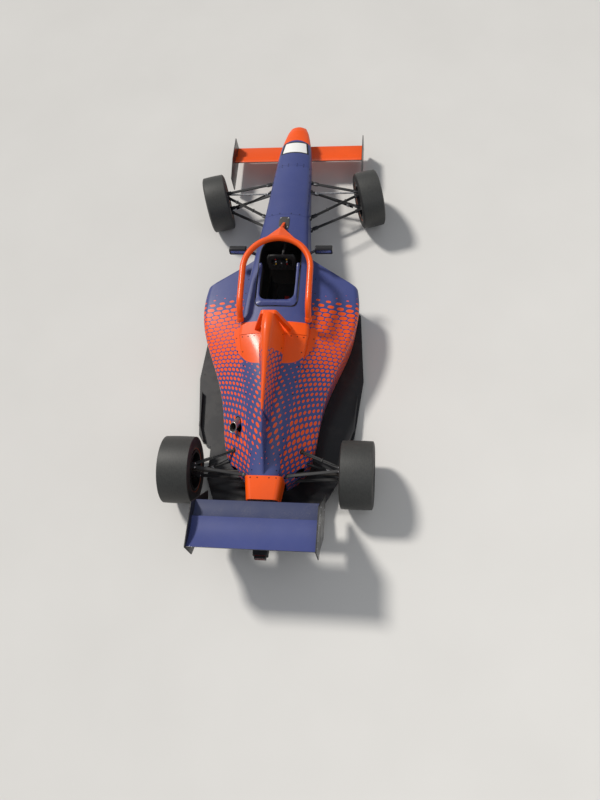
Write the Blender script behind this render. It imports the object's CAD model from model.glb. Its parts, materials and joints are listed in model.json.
"""Paint, padding, fittings and studio for an open wheel racing car, built round its frame.

Metres. X points forward, Y to the car's left, Z up.
"""

import json
from contextlib import contextmanager
from math import atan, cos, hypot, pi, radians, sin

import bmesh
import bpy
from mathutils import Matrix, Vector


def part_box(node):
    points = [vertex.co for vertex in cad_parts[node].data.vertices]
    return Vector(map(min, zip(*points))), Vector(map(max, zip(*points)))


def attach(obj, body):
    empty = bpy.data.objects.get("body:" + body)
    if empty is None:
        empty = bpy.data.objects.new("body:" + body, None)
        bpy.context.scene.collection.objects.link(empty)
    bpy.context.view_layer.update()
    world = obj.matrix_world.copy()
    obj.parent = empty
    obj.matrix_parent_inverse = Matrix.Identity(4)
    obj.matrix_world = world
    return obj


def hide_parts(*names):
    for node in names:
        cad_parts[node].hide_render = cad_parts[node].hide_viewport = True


bl_info = {
    "name": "Open wheel racing car",
    "version": (1, 0, 0),
    "blender": (4, 5, 0),
    "location": "View3D > Sidebar > Race car",
    "description": "Paint, padding, fittings and studio for the racing car's frame",
    "category": "Object",
}

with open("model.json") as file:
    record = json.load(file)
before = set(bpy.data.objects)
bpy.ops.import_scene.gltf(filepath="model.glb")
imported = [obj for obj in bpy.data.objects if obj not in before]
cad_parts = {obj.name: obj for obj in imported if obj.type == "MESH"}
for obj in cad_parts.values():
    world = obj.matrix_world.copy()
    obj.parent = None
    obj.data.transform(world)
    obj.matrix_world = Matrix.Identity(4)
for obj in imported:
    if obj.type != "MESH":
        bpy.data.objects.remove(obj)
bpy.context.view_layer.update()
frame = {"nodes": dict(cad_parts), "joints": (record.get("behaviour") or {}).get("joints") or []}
JOINTS = {joint["name"]: joint for joint in frame["joints"]}
REAR_AXLE = JOINTS["spin_rear_left"]["pos_m"][0]
FRONT_AXLE = JOINTS["steer_left"]["pos_m"][0]
STEER_AT_REST = radians(15)
CORNERS = ("front_left", "front_right", "rear_left", "rear_right")

FORWARD, REARWARD = (1, 0, 0), (-1, 0, 0)
UP, DOWN, INWARD = (0, 0, 1), (0, 0, -1), (0, -1, 0)

# How far an edge reaches along an axis to count as running along it
LONG_EDGE = 0.002
# How much of a normal points along an axis for its face to look that way
FACING = 0.9
# How close a point is to a place to count as there
TOUCHING = 0.0005
# Room between a soft piece and the CAD faces round it
SOFT_GAP = 0.006


# Editing


def clear_selection():
    """Leaves nothing selected."""
    for item in bpy.context.selected_objects:
        item.select_set(False)


def make_active(piece):
    """Selects one piece alone and makes it the active one."""
    clear_selection()
    piece.select_set(True)
    bpy.context.view_layer.objects.active = piece


def settle(piece):
    """Moves a piece's place, turn and size into its mesh."""
    make_active(piece)
    bpy.ops.object.transform_apply(location=True, rotation=True, scale=True)
    return piece


def new_box(name, low, high):
    """Starts a piece as a box between two corners."""
    clear_selection()
    low, high = Vector(low), Vector(high)
    bpy.ops.mesh.primitive_cube_add(size=1, location=(low + high) / 2, scale=high - low)
    piece = bpy.context.object
    piece.name = name
    return settle(piece)


def new_round(name, centre, axis, radius, depth, count):
    """Starts a piece as a round bar of that depth, centred on a point."""
    clear_selection()
    turn = Vector(axis).to_track_quat("Z", "Y").to_euler()
    bpy.ops.mesh.primitive_cylinder_add(
        vertices=count, radius=radius, depth=depth, location=centre, rotation=turn
    )
    piece = bpy.context.object
    piece.name = name
    return settle(piece)


def new_ring(name, centre, axis, radius, thickness, counts):
    """Starts a piece as a round section bent into a ring."""
    clear_selection()
    turn = Vector(axis).to_track_quat("Z", "Y").to_euler()
    bpy.ops.mesh.primitive_torus_add(
        major_radius=radius,
        minor_radius=thickness,
        major_segments=counts[0],
        minor_segments=counts[1],
        location=centre,
        rotation=turn,
    )
    piece = bpy.context.object
    piece.name = name
    return settle(piece)


@contextmanager
def editing(piece, kind="FACE"):
    """Edit mode on one piece, starting with nothing selected."""
    make_active(piece)
    bpy.ops.object.mode_set(mode="EDIT")
    bpy.ops.mesh.select_mode(type=kind)
    bpy.ops.mesh.select_all(action="DESELECT")
    yield
    bpy.ops.object.mode_set(mode="OBJECT")


def pick_faces(test):
    """Selects the faces whose centre and normal pass the test."""
    data = bpy.context.object.data
    mesh = bmesh.from_edit_mesh(data)
    for face in mesh.faces:
        face.select_set(bool(test(face.calc_center_median(), face.normal)))
    bmesh.update_edit_mesh(data)


def pick_edges(test):
    """Selects the edges whose two ends pass the test."""
    data = bpy.context.object.data
    mesh = bmesh.from_edit_mesh(data)
    for edge in mesh.edges:
        edge.select_set(bool(test(edge.verts[0].co, edge.verts[1].co)))
    bmesh.update_edit_mesh(data)


def extrude(move):
    """Draws the selected faces or edges out by a move."""
    bpy.ops.mesh.extrude_region_move(TRANSFORM_OT_translate={"value": move})


def step_faces(piece, facing, *steps):
    """Insets the faces that look one way and moves them along it, one (inset, rise) after another."""
    facing = Vector(facing)
    with editing(piece):
        pick_faces(lambda centre, normal: normal.dot(facing) > FACING)
        for inset, rise in steps:
            bpy.ops.mesh.inset(thickness=inset)
            if rise:
                extrude(facing * rise)


def round_edges_along(piece, axis, offset, segments, test=None):
    """Bevels the edges that run along an axis, or those of them that pass a test as well."""
    with editing(piece, "EDGE"):
        pick_edges(
            lambda one, two: abs(one[axis] - two[axis]) > LONG_EDGE and (test is None or test(one, two))
        )
        bpy.ops.mesh.bevel(offset=offset, segments=segments, affect="EDGES")


def modify(piece, kind, **values):
    """Adds one modifier with its values and applies it."""
    make_active(piece)
    modifier = piece.modifiers.new(kind.title(), kind)
    for name, value in values.items():
        setattr(modifier, name, value)
    bpy.ops.object.modifier_apply(modifier=modifier.name)
    return piece


def soften(piece, width, segments=2):
    """Rounds the edges where faces meet at more than 30 degrees."""
    return modify(
        piece, "BEVEL", width=width, segments=segments, limit_method="ANGLE", angle_limit=radians(30)
    )


def subdivide(piece, levels=1):
    """Smooths a piece's whole form by subdivision."""
    return modify(piece, "SUBSURF", levels=levels, render_levels=levels)


def tidy(piece):
    """Merges doubles and turns the faces outwards."""
    with editing(piece, "VERT"):
        bpy.ops.mesh.select_all(action="SELECT")
        bpy.ops.mesh.remove_doubles(threshold=0.00005)
        bpy.ops.mesh.normals_make_consistent(inside=False)
    return piece


def copy_of(piece, name, matrix=None):
    """A copy with its own mesh, moved by a matrix, and turned right side out if mirrored."""
    twin = piece.copy()
    twin.data = piece.data.copy()
    twin.name = name
    bpy.context.collection.objects.link(twin)
    if matrix is not None:
        twin.data.transform(matrix)
        if matrix.determinant() < 0:
            twin.data.flip_normals()
    return twin


def join(name, pieces):
    """Several pieces as one."""
    clear_selection()
    for piece in pieces:
        piece.select_set(True)
    bpy.context.view_layer.objects.active = pieces[0]
    if len(pieces) > 1:
        bpy.ops.object.join()
    piece = bpy.context.object
    piece.name = name
    return piece


def both_sides(piece, across=(0, 1, 0)):
    """The piece and its mirror image as one, by default on the car's left and right."""
    name = piece.name
    return join(name, [piece, copy_of(piece, name + "_twin", Matrix.Scale(-1, 4, across))])


def copies_by(name, source, matrices):
    """Copies of a piece, one for each matrix, joined in place of it."""
    made = [copy_of(source, name + "_part", matrix) for matrix in matrices]
    bpy.data.objects.remove(source, do_unlink=True)
    return join(name, made)


def copies_at(name, source, places):
    """Copies of a piece drawn at the origin, each turned from Z to the direction at its place."""
    matrices = []
    for place, direction in places:
        turn = Vector(direction).to_track_quat("Z", "Y").to_matrix().to_4x4()
        matrices.append(Matrix.Translation(place) @ turn)
    return copies_by(name, source, matrices)


def around(name, source, count):
    """Copies of a piece turned about Z in a ring."""
    turns = [Matrix.Rotation(2 * pi * number / count, 4, "Z") for number in range(count)]
    return copies_by(name, source, turns)


def spaced(first, last, count):
    """Evenly spaced points from first to last."""
    first, last = Vector(first), Vector(last)
    return [first.lerp(last, number / (count - 1)) for number in range(count)]


def round_corners(points, reach):
    """The points, with one more on each side of every inner corner for a smooth line to turn there."""
    points = [Vector(point) for point in points]
    line = [points[0]]
    for before, corner, after in zip(points, points[1:], points[2:]):
        line.append(corner + (before - corner).normalized() * reach)
        line.append(corner)
        line.append(corner + (after - corner).normalized() * reach)
    return [*line, points[-1]]


def tube_along(name, points, radius, closed=False):
    """A round tube along a smooth line near its points."""
    curve = bpy.data.curves.new(name, "CURVE")
    curve.dimensions = "3D"
    curve.bevel_depth = radius
    curve.bevel_resolution = 3
    curve.resolution_u = 10
    curve.use_fill_caps = not closed
    line = curve.splines.new("NURBS")
    line.points.add(len(points) - 1)
    for spot, point in zip(line.points, points):
        spot.co = (*point, 1)
    line.order_u = 3
    line.use_endpoint_u = not closed
    line.use_cyclic_u = closed
    piece = bpy.data.objects.new(name, curve)
    bpy.context.collection.objects.link(piece)
    make_active(piece)
    bpy.ops.object.convert(target="MESH")
    return tidy(bpy.context.object)


def surface_at(node, start, direction):
    """Where a line first meets a CAD node, and the way its surface faces there."""
    found, place, normal, _ = frame["nodes"][node].ray_cast(Vector(start), Vector(direction))
    if not found:
        raise RuntimeError(f"no surface of {node} on the line from {start}")
    return place, normal


def places_on(node, points, direction, raised=0.0):
    """Where lines from the points meet a node, and the same on the car's other side.

    Braces in the name stand for left and right.
    """
    found = []
    for point in points:
        for side, word in ((1, "left"), (-1, "right")):
            mirror = Vector((1, side, 1))
            start, way = Vector(point) * mirror, Vector(direction) * mirror
            place, normal = surface_at(node.format(word), start, way)
            found.append((place + normal * raised, normal))
    return found


def finish_piece(piece, material, body="chassis", smooth=35):
    """Shades a finished piece, gives it its material and puts it on its body."""
    make_active(piece)
    bpy.ops.object.shade_smooth_by_angle(angle=radians(smooth))
    piece.data.materials.clear()
    piece.data.materials.append(bpy.data.materials[material])
    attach(piece, body)


# Shader nodes


class Nodes:
    """Adds and links the nodes of one material or group."""

    def __init__(self, tree):
        self.tree = tree

    def feed(self, socket, value):
        """Links a socket to what feeds it, or sets it to a plain value."""
        if isinstance(value, bpy.types.NodeSocket):
            self.tree.links.new(value, socket)
        elif value is not None:
            socket.default_value = value

    def add(self, kind, inputs=(), **settings):
        """A node of that kind, with its settings and what its inputs are fed."""
        node = self.tree.nodes.new(kind)
        for name, value in settings.items():
            setattr(node, name, value)
        for name, value in dict(inputs).items():
            self.feed(node.inputs[name], value)
        return node

    def math(self, operation, first, second=0.0, third=0.0):
        """The result of one operation on up to three numbers."""
        node = self.add("ShaderNodeMath", operation=operation)
        for socket, value in zip(node.inputs, (first, second, third)):
            self.feed(socket, value)
        return node.outputs[0]

    def length(self, first, second):
        """How far off an axis a place lies, from its two sides."""
        squares = [self.math("MULTIPLY", part, part) for part in (first, second)]
        return self.math("SQRT", self.math("ADD", *squares))

    def step(self, value, low, high):
        """0 at low and 1 at high, smooth between them and flat beyond."""
        node = self.add("ShaderNodeMapRange", interpolation_type="SMOOTHSTEP")
        self.feed(node.inputs["Value"], value)
        self.feed(node.inputs["From Min"], low)
        self.feed(node.inputs["From Max"], high)
        return node.outputs["Result"]

    def band(self, value, low, high, soft):
        """1 between low and high, fading over soft at both ends."""
        rise = self.step(value, low - soft, low + soft)
        fall = self.step(value, high + soft, high - soft)
        return self.math("MULTIPLY", rise, fall)

    def mix(self, share, first, second, blend="MIX"):
        """A colour that runs from first to second with share, or to their blend."""
        node = self.add("ShaderNodeMix", data_type="RGBA", blend_type=blend)
        self.feed(node.inputs[0], share)
        self.feed(node.inputs[6], first)
        self.feed(node.inputs[7], second)
        return node.outputs[2]

    def blend(self, share, first, second):
        """A number that runs from first to second with share."""
        node = self.add("ShaderNodeMix", data_type="FLOAT")
        self.feed(node.inputs[0], share)
        self.feed(node.inputs[2], first)
        self.feed(node.inputs[3], second)
        return node.outputs[0]

    def noise(self, vector, scale, detail=3.0, roughness=0.55):
        """Cloudy noise between 0 and 1."""
        node = self.add("ShaderNodeTexNoise")
        self.feed(node.inputs["Vector"], vector)
        self.feed(node.inputs["Scale"], scale)
        node.inputs["Detail"].default_value = detail
        node.inputs["Roughness"].default_value = roughness
        return node.outputs[0]

    def profile(self, value, low, high, stops):
        """A number read from stops set by hand along value, the ends at low and high first."""
        share = self.add("ShaderNodeMapRange")
        self.feed(share.inputs["Value"], value)
        share.inputs["From Min"].default_value = low
        share.inputs["From Max"].default_value = high
        ramp = self.add("ShaderNodeValToRGB")
        line = ramp.color_ramp
        line.interpolation = "EASE"
        for number, (place, height) in enumerate(stops):
            if number < 2:
                spot = line.elements[number]
                spot.position = (place - low) / (high - low)
            else:
                spot = line.elements.new((place - low) / (high - low))
            spot.color = (height, height, height, 1)
        self.feed(ramp.inputs[0], share.outputs[0])
        split = self.add("ShaderNodeSeparateColor")
        self.feed(split.inputs[0], ramp.outputs[0])
        return split.outputs[0]

    def split(self, vector):
        """The X, Y and Z of a vector."""
        node = self.add("ShaderNodeSeparateXYZ")
        self.feed(node.inputs[0], vector)
        return node.outputs

    def group(self, name, inputs):
        """What a node group gives for those inputs."""
        node = self.add("ShaderNodeGroup", node_tree=bpy.data.node_groups[name])
        for key, value in inputs.items():
            self.feed(node.inputs[key], value)
        return node.outputs


def new_group(name, inputs, outputs):
    """An empty node group: its builder, what comes in and what goes out."""
    tree = bpy.data.node_groups.new(name, "ShaderNodeTree")
    kinds = {"vector": "NodeSocketVector", "number": "NodeSocketFloat", "colour": "NodeSocketColor"}
    for label, kind, default in inputs:
        socket = tree.interface.new_socket(label, in_out="INPUT", socket_type=kinds[kind])
        if default is not None:
            socket.default_value = default
    for label, kind in outputs:
        tree.interface.new_socket(label, in_out="OUTPUT", socket_type=kinds[kind])
    nodes = Nodes(tree)
    given = nodes.add("NodeGroupInput").outputs
    result = nodes.add("NodeGroupOutput").inputs
    return nodes, given, result


def new_material(name, **values):
    """A material with one Principled shader: its builder, the shader and the position."""
    material = bpy.data.materials.new(name)
    material.use_nodes = True
    nodes = Nodes(material.node_tree)
    shader = material.node_tree.nodes["Principled BSDF"]
    for label, value in values.items():
        shader.inputs[label.replace("_", " ")].default_value = value
    position = nodes.add("ShaderNodeTexCoord").outputs["Object"]
    return nodes, shader, position


def bump(nodes, shader, height, distance, strength):
    """Raises the shader's surface by a height over a distance."""
    node = nodes.add("ShaderNodeBump", {"Height": height})
    node.inputs["Strength"].default_value = strength
    node.inputs["Distance"].default_value = distance
    nodes.feed(shader.inputs["Normal"], node.outputs[0])


# Effects that several materials share


def build_dots_group():
    """Rows of staggered dots that follow the body and grow or shrink with Size."""
    nodes, given, result = new_group(
        "Fading dots", [("Vector", "vector", None), ("Size", "number", 0.3)], [("Mask", "number")]
    )
    row_pitch, column_pitch = 0.050, 0.058
    x, y, z = nodes.split(given["Vector"])
    away = nodes.math("SUBTRACT", nodes.math("ABSOLUTE", y), z)
    station = nodes.math("SUBTRACT", x, REAR_AXLE)
    # The rows lean with height, less so towards the front, and curve near the spine
    lean = nodes.math("MULTIPLY_ADD", station, 0.40, -0.50)
    uphill = nodes.math("MINIMUM", away, 0.0)
    rise = nodes.math("MULTIPLY", nodes.math("MULTIPLY", uphill, uphill), 0.22)
    rise = nodes.math("MULTIPLY_ADD", nodes.math("ADD", away, 0.3), lean, rise)
    station = nodes.math("ADD", station, rise)
    # They lie closer in some places than in others, and the columns spread towards the front
    wave = nodes.math("SINE", nodes.math("MULTIPLY", nodes.math("SUBTRACT", station, 1.05), 4.2))
    row = nodes.math("DIVIDE", nodes.math("MULTIPLY_ADD", wave, 0.055, station), row_pitch)
    cube = nodes.math("POWER", nodes.math("MAXIMUM", station, 0.0), 3.0)
    fan = nodes.math("MULTIPLY_ADD", cube, 0.012, column_pitch)
    column = nodes.math("DIVIDE", nodes.math("ADD", away, 0.6), fan)
    stagger = nodes.math("MULTIPLY", nodes.math("PINGPONG", nodes.math("FLOOR", row), 1.0), 0.5)
    across = nodes.math("SUBTRACT", nodes.math("FRACT", nodes.math("ADD", column, stagger)), 0.5)
    down = nodes.math("SUBTRACT", nodes.math("FRACT", row), 0.5)
    # The dots are round at the rear and squarer towards the front
    full = nodes.math("MULTIPLY_ADD", station, 0.7, 1.8)
    full = nodes.math("MINIMUM", nodes.math("MAXIMUM", full, 2.0), 2.7)
    powers = [nodes.math("POWER", nodes.math("ABSOLUTE", part), full) for part in (across, down)]
    reach = nodes.math("POWER", nodes.math("ADD", *powers), nodes.math("DIVIDE", 1.0, full))
    inside = nodes.step(nodes.math("SUBTRACT", given["Size"], reach), -0.02, 0.02)
    nodes.feed(result["Mask"], nodes.math("MULTIPLY", inside, nodes.step(given["Size"], 0.03, 0.06)))


def build_dust_group():
    """Tone variation, road dust, fine scratches and lacquer ripple for a painted surface."""
    nodes, given, result = new_group(
        "Road worn lacquer",
        [
            ("Vector", "vector", None),
            ("Colour", "colour", (0.5, 0.5, 0.5, 1)),
            ("Dust", "number", 0.3),
            ("Roughness", "number", 0.3),
        ],
        [("Colour", "colour"), ("Roughness", "number"), ("Height", "number")],
    )
    tone = nodes.noise(given["Vector"], 2.2, 4)
    lighter = nodes.mix(1.0, given["Colour"], (1.16, 1.14, 1.10, 1), "MULTIPLY")
    colour = nodes.mix(nodes.step(tone, 0.35, 0.75), given["Colour"], lighter)
    specks = nodes.noise(given["Vector"], 240, 2)
    patches = nodes.noise(given["Vector"], 6, 5)
    dust = nodes.math("MULTIPLY", nodes.step(specks, 0.5, 0.72), nodes.step(patches, 0.38, 0.7))
    dust = nodes.math("MULTIPLY", dust, given["Dust"])
    colour = nodes.mix(dust, colour, (0.30, 0.27, 0.23, 1))
    _, _, z = nodes.split(given["Vector"])
    low = nodes.step(nodes.math("MULTIPLY_ADD", patches, 0.16, z), 0.30, 0.10)
    splashed = nodes.math("MULTIPLY", low, nodes.math("MULTIPLY", given["Dust"], 1.2))
    colour = nodes.mix(splashed, colour, (0.22, 0.2, 0.17, 1))
    nodes.feed(result["Colour"], colour)
    streaks = nodes.add("ShaderNodeMapping", {"Vector": given["Vector"], "Scale": (6, 60, 60)})
    wiped = nodes.noise(streaks.outputs[0], 4, 4)
    rough = nodes.math("MULTIPLY_ADD", nodes.step(wiped, 0.4, 0.7), 0.09, given["Roughness"])
    nodes.feed(result["Roughness"], nodes.math("MULTIPLY_ADD", dust, 0.4, rough))
    nodes.feed(result["Height"], nodes.noise(given["Vector"], 160, 1.5))


def build_weave_group():
    """Twill weave of carbon cloth under resin: Shade from 0 to 1 and a fine Height."""
    nodes, given, result = new_group(
        "Carbon twill",
        [("Vector", "vector", None), ("Thread", "number", 0.003)],
        [("Shade", "number"), ("Height", "number"), ("Wear", "number")],
    )
    x, y, z = nodes.split(given["Vector"])
    first = nodes.math("DIVIDE", nodes.math("ADD", x, z), given["Thread"])
    second = nodes.math("DIVIDE", nodes.math("SUBTRACT", y, z), given["Thread"])
    cell = nodes.math("ADD", nodes.math("FLOOR", first), nodes.math("FLOOR", second))
    turn = nodes.math("FLOORED_MODULO", cell, 4.0)
    upper = nodes.math("LESS_THAN", turn, 1.5)
    warp = nodes.math("SINE", nodes.math("MULTIPLY", nodes.math("FRACT", first), pi))
    weft = nodes.math("SINE", nodes.math("MULTIPLY", nodes.math("FRACT", second), pi))
    thread = nodes.blend(upper, weft, warp)
    lit = nodes.math("MULTIPLY_ADD", upper, 0.5, 0.5)
    nodes.feed(result["Shade"], nodes.math("MULTIPLY", lit, thread))
    nodes.feed(result["Height"], thread)
    broad = nodes.noise(given["Vector"], 7, 5)
    nodes.feed(result["Wear"], nodes.step(broad, 0.45, 0.75))


def build_tyre_group():
    """Slick tyre seen from its centre with Y along the axle: scrubbed tread and ringed walls."""
    nodes, given, result = new_group(
        "Scrubbed rubber",
        [("Vector", "vector", None), ("Radius", "number", 0.28), ("Half Tread", "number", 0.1)],
        [("Colour", "colour"), ("Roughness", "number"), ("Height", "number")],
    )
    x, y, z = nodes.split(given["Vector"])
    out = nodes.length(x, z)
    turn = nodes.math("ARCTAN2", z, x)
    off = nodes.math("ABSOLUTE", y)
    tread = nodes.math(
        "MULTIPLY",
        nodes.step(nodes.math("SUBTRACT", out, given["Radius"]), -0.020, -0.006),
        nodes.step(nodes.math("SUBTRACT", off, given["Half Tread"]), 0.016, -0.004),
    )
    # Tread: streaks round the tyre, scuffs and picked up rubber
    stretched = {"X": nodes.math("MULTIPLY", turn, 0.6), "Y": nodes.math("MULTIPLY", y, 9.0), "Z": out}
    rolled = nodes.add("ShaderNodeCombineXYZ", stretched).outputs[0]
    streaks = nodes.noise(rolled, 14, 5)
    pebbles = nodes.noise(given["Vector"], 90, 4, 0.7)
    scrubbed = nodes.step(streaks, 0.3, 0.7)
    worn = nodes.mix(scrubbed, (0.022, 0.023, 0.022, 1), (0.036, 0.037, 0.034, 1))
    worn = nodes.mix(nodes.step(pebbles, 0.42, 0.66), worn, (0.038, 0.038, 0.036, 1))
    pick_up = nodes.math("MULTIPLY", nodes.step(nodes.noise(given["Vector"], 34, 3), 0.60, 0.66), 0.26)
    worn = nodes.mix(pick_up, worn, (0.016, 0.016, 0.015, 1))
    # Wall: faded rubber with a thin orange ring
    faded = nodes.step(nodes.noise(given["Vector"], 8, 4), 0.35, 0.7)
    wall = nodes.mix(faded, (0.014, 0.014, 0.014, 1), (0.028, 0.028, 0.026, 1))
    ring = nodes.band(out, 0.190, 0.1935, 0.0012)
    wall = nodes.mix(nodes.math("MULTIPLY", ring, 0.75), wall, (0.62, 0.12, 0.02, 1))
    nodes.feed(result["Colour"], nodes.mix(tread, wall, worn))
    smoothest = nodes.blend(tread, 0.46, 0.44)
    nodes.feed(result["Roughness"], nodes.math("MULTIPLY_ADD", pebbles, 0.2, smoothest))
    # Moulded rings and ribs on the wall
    rings = nodes.math("SINE", nodes.math("MULTIPLY", out, 900))
    rings = nodes.math("MULTIPLY", rings, nodes.band(out, 0.2, 0.245, 0.004))
    ribs = nodes.math("SINE", nodes.math("MULTIPLY", turn, 240))
    ribs = nodes.math("MULTIPLY", ribs, nodes.band(out, 0.226, 0.238, 0.002))
    wall_height = nodes.math("MULTIPLY", nodes.math("MULTIPLY_ADD", ribs, 0.5, rings), 0.4)
    nodes.feed(result["Height"], nodes.blend(tread, wall_height, nodes.math("ADD", pebbles, streaks)))


def build_metal_group():
    """Handled metal: uneven tone, fine grain and smears in the gloss."""
    nodes, given, result = new_group(
        "Handled metal",
        [
            ("Vector", "vector", None),
            ("Colour", "colour", (0.5, 0.5, 0.5, 1)),
            ("Roughness", "number", 0.4),
        ],
        [("Colour", "colour"), ("Roughness", "number"), ("Height", "number")],
    )
    broad = nodes.noise(given["Vector"], 18, 5)
    grime = nodes.step(broad, 0.42, 0.72)
    dirty = nodes.mix(nodes.math("MULTIPLY", grime, 0.45), given["Colour"], (0.045, 0.042, 0.038, 1))
    nodes.feed(result["Colour"], dirty)
    smear = nodes.noise(given["Vector"], 55, 4)
    rough = nodes.math("MULTIPLY_ADD", nodes.math("SUBTRACT", smear, 0.5), 0.3, given["Roughness"])
    nodes.feed(result["Roughness"], nodes.math("MULTIPLY_ADD", grime, 0.2, rough))
    nodes.feed(result["Height"], nodes.noise(given["Vector"], 420, 3))


def build_cloth_group():
    """Plain woven cloth with slubs: Shade and Height."""
    nodes, given, result = new_group(
        "Close cloth",
        [("Vector", "vector", None), ("Thread", "number", 0.0016)],
        [("Shade", "number"), ("Height", "number")],
    )
    x, y, z = nodes.split(given["Vector"])
    first = nodes.math("DIVIDE", nodes.math("ADD", x, nodes.math("MULTIPLY", z, 0.8)), given["Thread"])
    second = nodes.math("DIVIDE", nodes.math("ADD", y, nodes.math("MULTIPLY", z, 0.6)), given["Thread"])
    warp = nodes.math("ABSOLUTE", nodes.math("SINE", nodes.math("MULTIPLY", first, pi)))
    weft = nodes.math("ABSOLUTE", nodes.math("SINE", nodes.math("MULTIPLY", second, pi)))
    cell = nodes.math("ADD", nodes.math("FLOOR", first), nodes.math("FLOOR", second))
    height = nodes.blend(nodes.math("PINGPONG", cell, 1.0), warp, weft)
    slub = nodes.noise(given["Vector"], 70, 4)
    nodes.feed(result["Shade"], nodes.math("MULTIPLY", height, nodes.math("ADD", slub, 0.45)))
    nodes.feed(result["Height"], height)


# Finishes


LACQUER_ROUGHNESS = 0.42


def lacquer(name, colour, dust, roughness=LACQUER_ROUGHNESS):
    """Clear coated paint; colour is plain or made from the nodes and the position."""
    nodes, shader, position = new_material(
        name, Coat_Weight=0.2, Coat_Roughness=0.16, Specular_IOR_Level=0.24
    )
    shown = colour(nodes, position) if callable(colour) else colour
    made = nodes.group(
        "Road worn lacquer", {"Vector": position, "Colour": shown, "Dust": dust, "Roughness": roughness}
    )
    nodes.feed(shader.inputs["Base Color"], made["Colour"])
    nodes.feed(shader.inputs["Roughness"], made["Roughness"])
    bump(nodes, shader, made["Height"], 0.00025, 0.35)


def body_pattern(nodes, position):
    """Blue body with dots over the pods and cover and an orange collar behind the cockpit."""
    look = bpy.context.scene.race_paint
    x, y, _ = nodes.split(position)
    off = nodes.math("ABSOLUTE", y)
    station = nodes.math("SUBTRACT", x, REAR_AXLE)
    pod_size = nodes.profile(
        station,
        -0.1,
        1.8,
        (
            (-0.1, 0.22),
            (1.8, 0.0),
            (0.1, 0.34),
            (0.30, 0.38),
            (0.58, 0.27),
            (0.82, 0.33),
            (1.00, 0.42),
            (1.15, 0.46),
            (1.34, 0.46),
            (1.48, 0.43),
            (1.58, 0.28),
            (1.66, 0.05),
        ),
    )
    cover_size = nodes.profile(
        station,
        -0.1,
        1.8,
        (
            (-0.1, 0.0),
            (1.8, 0.0),
            (0.06, 0.10),
            (0.22, 0.33),
            (0.45, 0.30),
            (0.70, 0.30),
            (0.90, 0.22),
            (0.98, 0.05),
        ),
    )
    thinning = ((0.0, 0.8), (0.5, 1.0), (0.08, 1.0), (0.17, 0.45), (0.27, 0.8))
    thin = nodes.profile(off, 0.0, 0.5, thinning)
    cover_size = nodes.math("MULTIPLY", cover_size, thin)
    seam = ((0.0, 0.12), (1.6, 0.31), (0.34, 0.18), (0.85, 0.25), (1.15, 0.305))
    seam = nodes.profile(station, 0.0, 1.6, seam)
    on_pod = nodes.step(nodes.math("SUBTRACT", off, seam), -0.01, 0.02)
    size = nodes.math("MULTIPLY", nodes.blend(on_pod, cover_size, pod_size), look.dot_size)
    dots = nodes.group("Fading dots", {"Vector": position, "Size": size})["Mask"]
    edge = nodes.math("MULTIPLY_ADD", nodes.math("POWER", off, 4.0), 16.0, 0.865)
    behind = nodes.step(nodes.math("SUBTRACT", station, edge), -0.003, 0.003)
    ahead = nodes.step(station, 1.278, 1.272)
    inner = nodes.step(off, 0.386, 0.380)
    collar = nodes.math("MULTIPLY", nodes.math("MULTIPLY", behind, ahead), inner)
    mask = nodes.math("MAXIMUM", dots, collar)
    return nodes.mix(mask, (*look.body_blue, 1), (*look.accent_orange, 1))


def tub_pattern(nodes, position):
    """The body's pattern outside, and bare dark laminate on the faces that look inwards."""
    outside = body_pattern(nodes, position)
    _, y, z = nodes.split(position)
    _, side, up = nodes.split(nodes.add("ShaderNodeNewGeometry").outputs["Normal"])
    inward = nodes.step(nodes.math("MULTIPLY", side, nodes.math("SIGN", y)), -0.15, -0.3)
    floor = nodes.math("MULTIPLY", nodes.step(up, 0.3, 0.5), nodes.step(z, 0.34, 0.30))
    roof = nodes.math("MULTIPLY", nodes.step(up, -0.3, -0.5), nodes.step(z, 0.30, 0.34))
    inside = nodes.math("MAXIMUM", inward, nodes.math("MAXIMUM", floor, roof))
    return nodes.mix(inside, outside, (0.030, 0.030, 0.033, 1))


def nose_pattern(nodes, position):
    """Blue nose with an orange tip and a blank white number board in a dark border."""
    look = bpy.context.scene.race_paint
    x, y, _ = nodes.split(position)
    _, _, up = nodes.split(nodes.add("ShaderNodeNewGeometry").outputs["Normal"])
    station = nodes.math("SUBTRACT", x, FRONT_AXLE)
    off = nodes.math("ABSOLUTE", y)
    curved = nodes.math("MULTIPLY_ADD", nodes.math("MULTIPLY", off, off), 2.2, station)
    tip = nodes.step(curved, 0.688, 0.692)
    colour = nodes.mix(tip, (*look.body_blue, 1), (*look.accent_orange, 1))
    upward = nodes.step(up, 0.55, 0.6)
    narrowed = nodes.math("MULTIPLY_ADD", station, 0.13, off)
    for low, high, half, shade in (
        (0.476, 0.660, 0.208, (0.010, 0.010, 0.012, 1)),
        (0.492, 0.643, 0.190, (0.74, 0.74, 0.74, 1)),
    ):
        along = nodes.band(station, low, high, 0.001)
        area = nodes.math("MULTIPLY", along, nodes.step(narrowed, half + 0.001, half - 0.001))
        colour = nodes.mix(nodes.math("MULTIPLY", area, upward), colour, shade)
    return colour


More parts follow.
